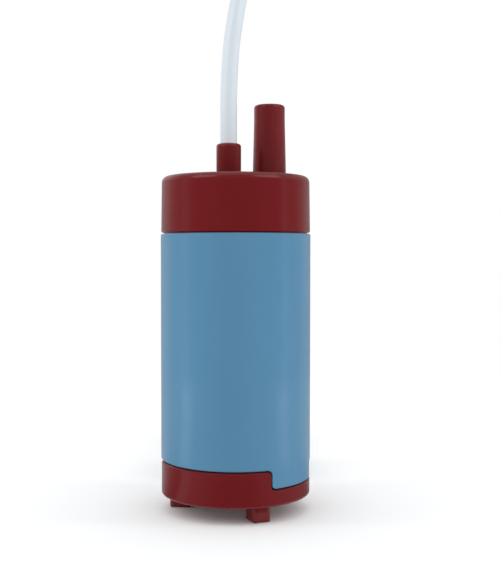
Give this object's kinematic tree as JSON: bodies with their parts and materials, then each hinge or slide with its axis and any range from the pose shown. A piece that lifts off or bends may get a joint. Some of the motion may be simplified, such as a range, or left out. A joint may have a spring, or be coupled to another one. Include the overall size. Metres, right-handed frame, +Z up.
{
  "type": "submersible water pump",
  "caption": "Slim cylindrical submersible 12 V water pump for a caravan tank, with a hose tail, a cable gland and a bayonet strainer base on feet.",
  "frame": {"origin": "on the pump axis, on the surface that the feet stand on", "axes": "+Z up along the pump axis towards the hose tail, -Y towards the viewer, +X to the right as seen from the front"},
  "size_m": [0.0513, 0.1637, 0.2026],
  "materials": {
    "casing_blue": "satin moulded plastic",
    "moulded_red": "glossy moulded plastic",
    "moulded_black": "fine satin",
    "moulded_white": "natural nylon",
    "cable_sheath": "soft milky sheath",
    "seal_rubber": "smooth",
    "bright_steel": "ground",
    "plated_can": "zinc plated",
    "ferrite": "ground ferrite",
    "core_steel": "stacked laminations",
    "copper": "copper",
    "bronze": "sintered bronze",
    "carbon": "pressed carbon",
    "core_brown": "insulated core",
    "core_blue": "insulated core",
    "tinned_strand": "tinned strands"
  },
  "bodies": {
    "casing": {"casing": "casing_blue", "top_cap": "moulded_red", "outlet_tail": "moulded_red", "cable_gland": "moulded_red", "seal_carrier": "moulded_black", "shaft_seal": "seal_rubber", "seal_washer": "bright_steel", "motor_pod": "moulded_black", "pod_lid": "moulded_black", "pod_o_rings": "seal_rubber", "cap_o_ring": "seal_rubber", "riser_o_ring": "seal_rubber", "motor_cushion": "seal_rubber", "motor_can": "plated_can", "motor_end_cap": "moulded_black", "magnets": "ferrite", "magnet_clips": "bright_steel", "front_bush": "bronze", "rear_bush": "bronze", "brushes": "carbon", "terminals": "bronze", "cable_grommet": "seal_rubber", "cable_entry": "cable_sheath", "strain_clamp": "bright_steel", "lead_positive": "core_brown", "lead_negative": "core_blue", "cable": "cable_sheath", "cable_hank": "cable_sheath", "cable_tie": "moulded_white", "core_positive": "core_brown", "core_negative": "core_blue", "core_tips": "tinned_strand"},
    "rotor": {"impeller": "moulded_white", "shaft": "bright_steel", "armature_core": "core_steel", "windings": "copper", "commutator_bars": "copper", "commutator_core": "moulded_black", "spacer_sleeves": "moulded_white", "thrust_washers": "moulded_white"},
    "base": {"strainer_base": "moulded_red", "inlet_plate": "moulded_black", "base_o_ring": "seal_rubber"}
  },
  "joints": [
    {"name": "rotor_spin", "type": "hinge", "parent": "casing", "child": "rotor", "pos_m": [0, 0, 0.05], "axis": [0, 0, 1], "continuous": true},
    {"name": "base_turn", "type": "hinge", "parent": "casing", "child": "base", "pos_m": [0, 0, 0.0165], "axis": [0, 0, -1], "range_deg": [0, 18]}
  ]
}
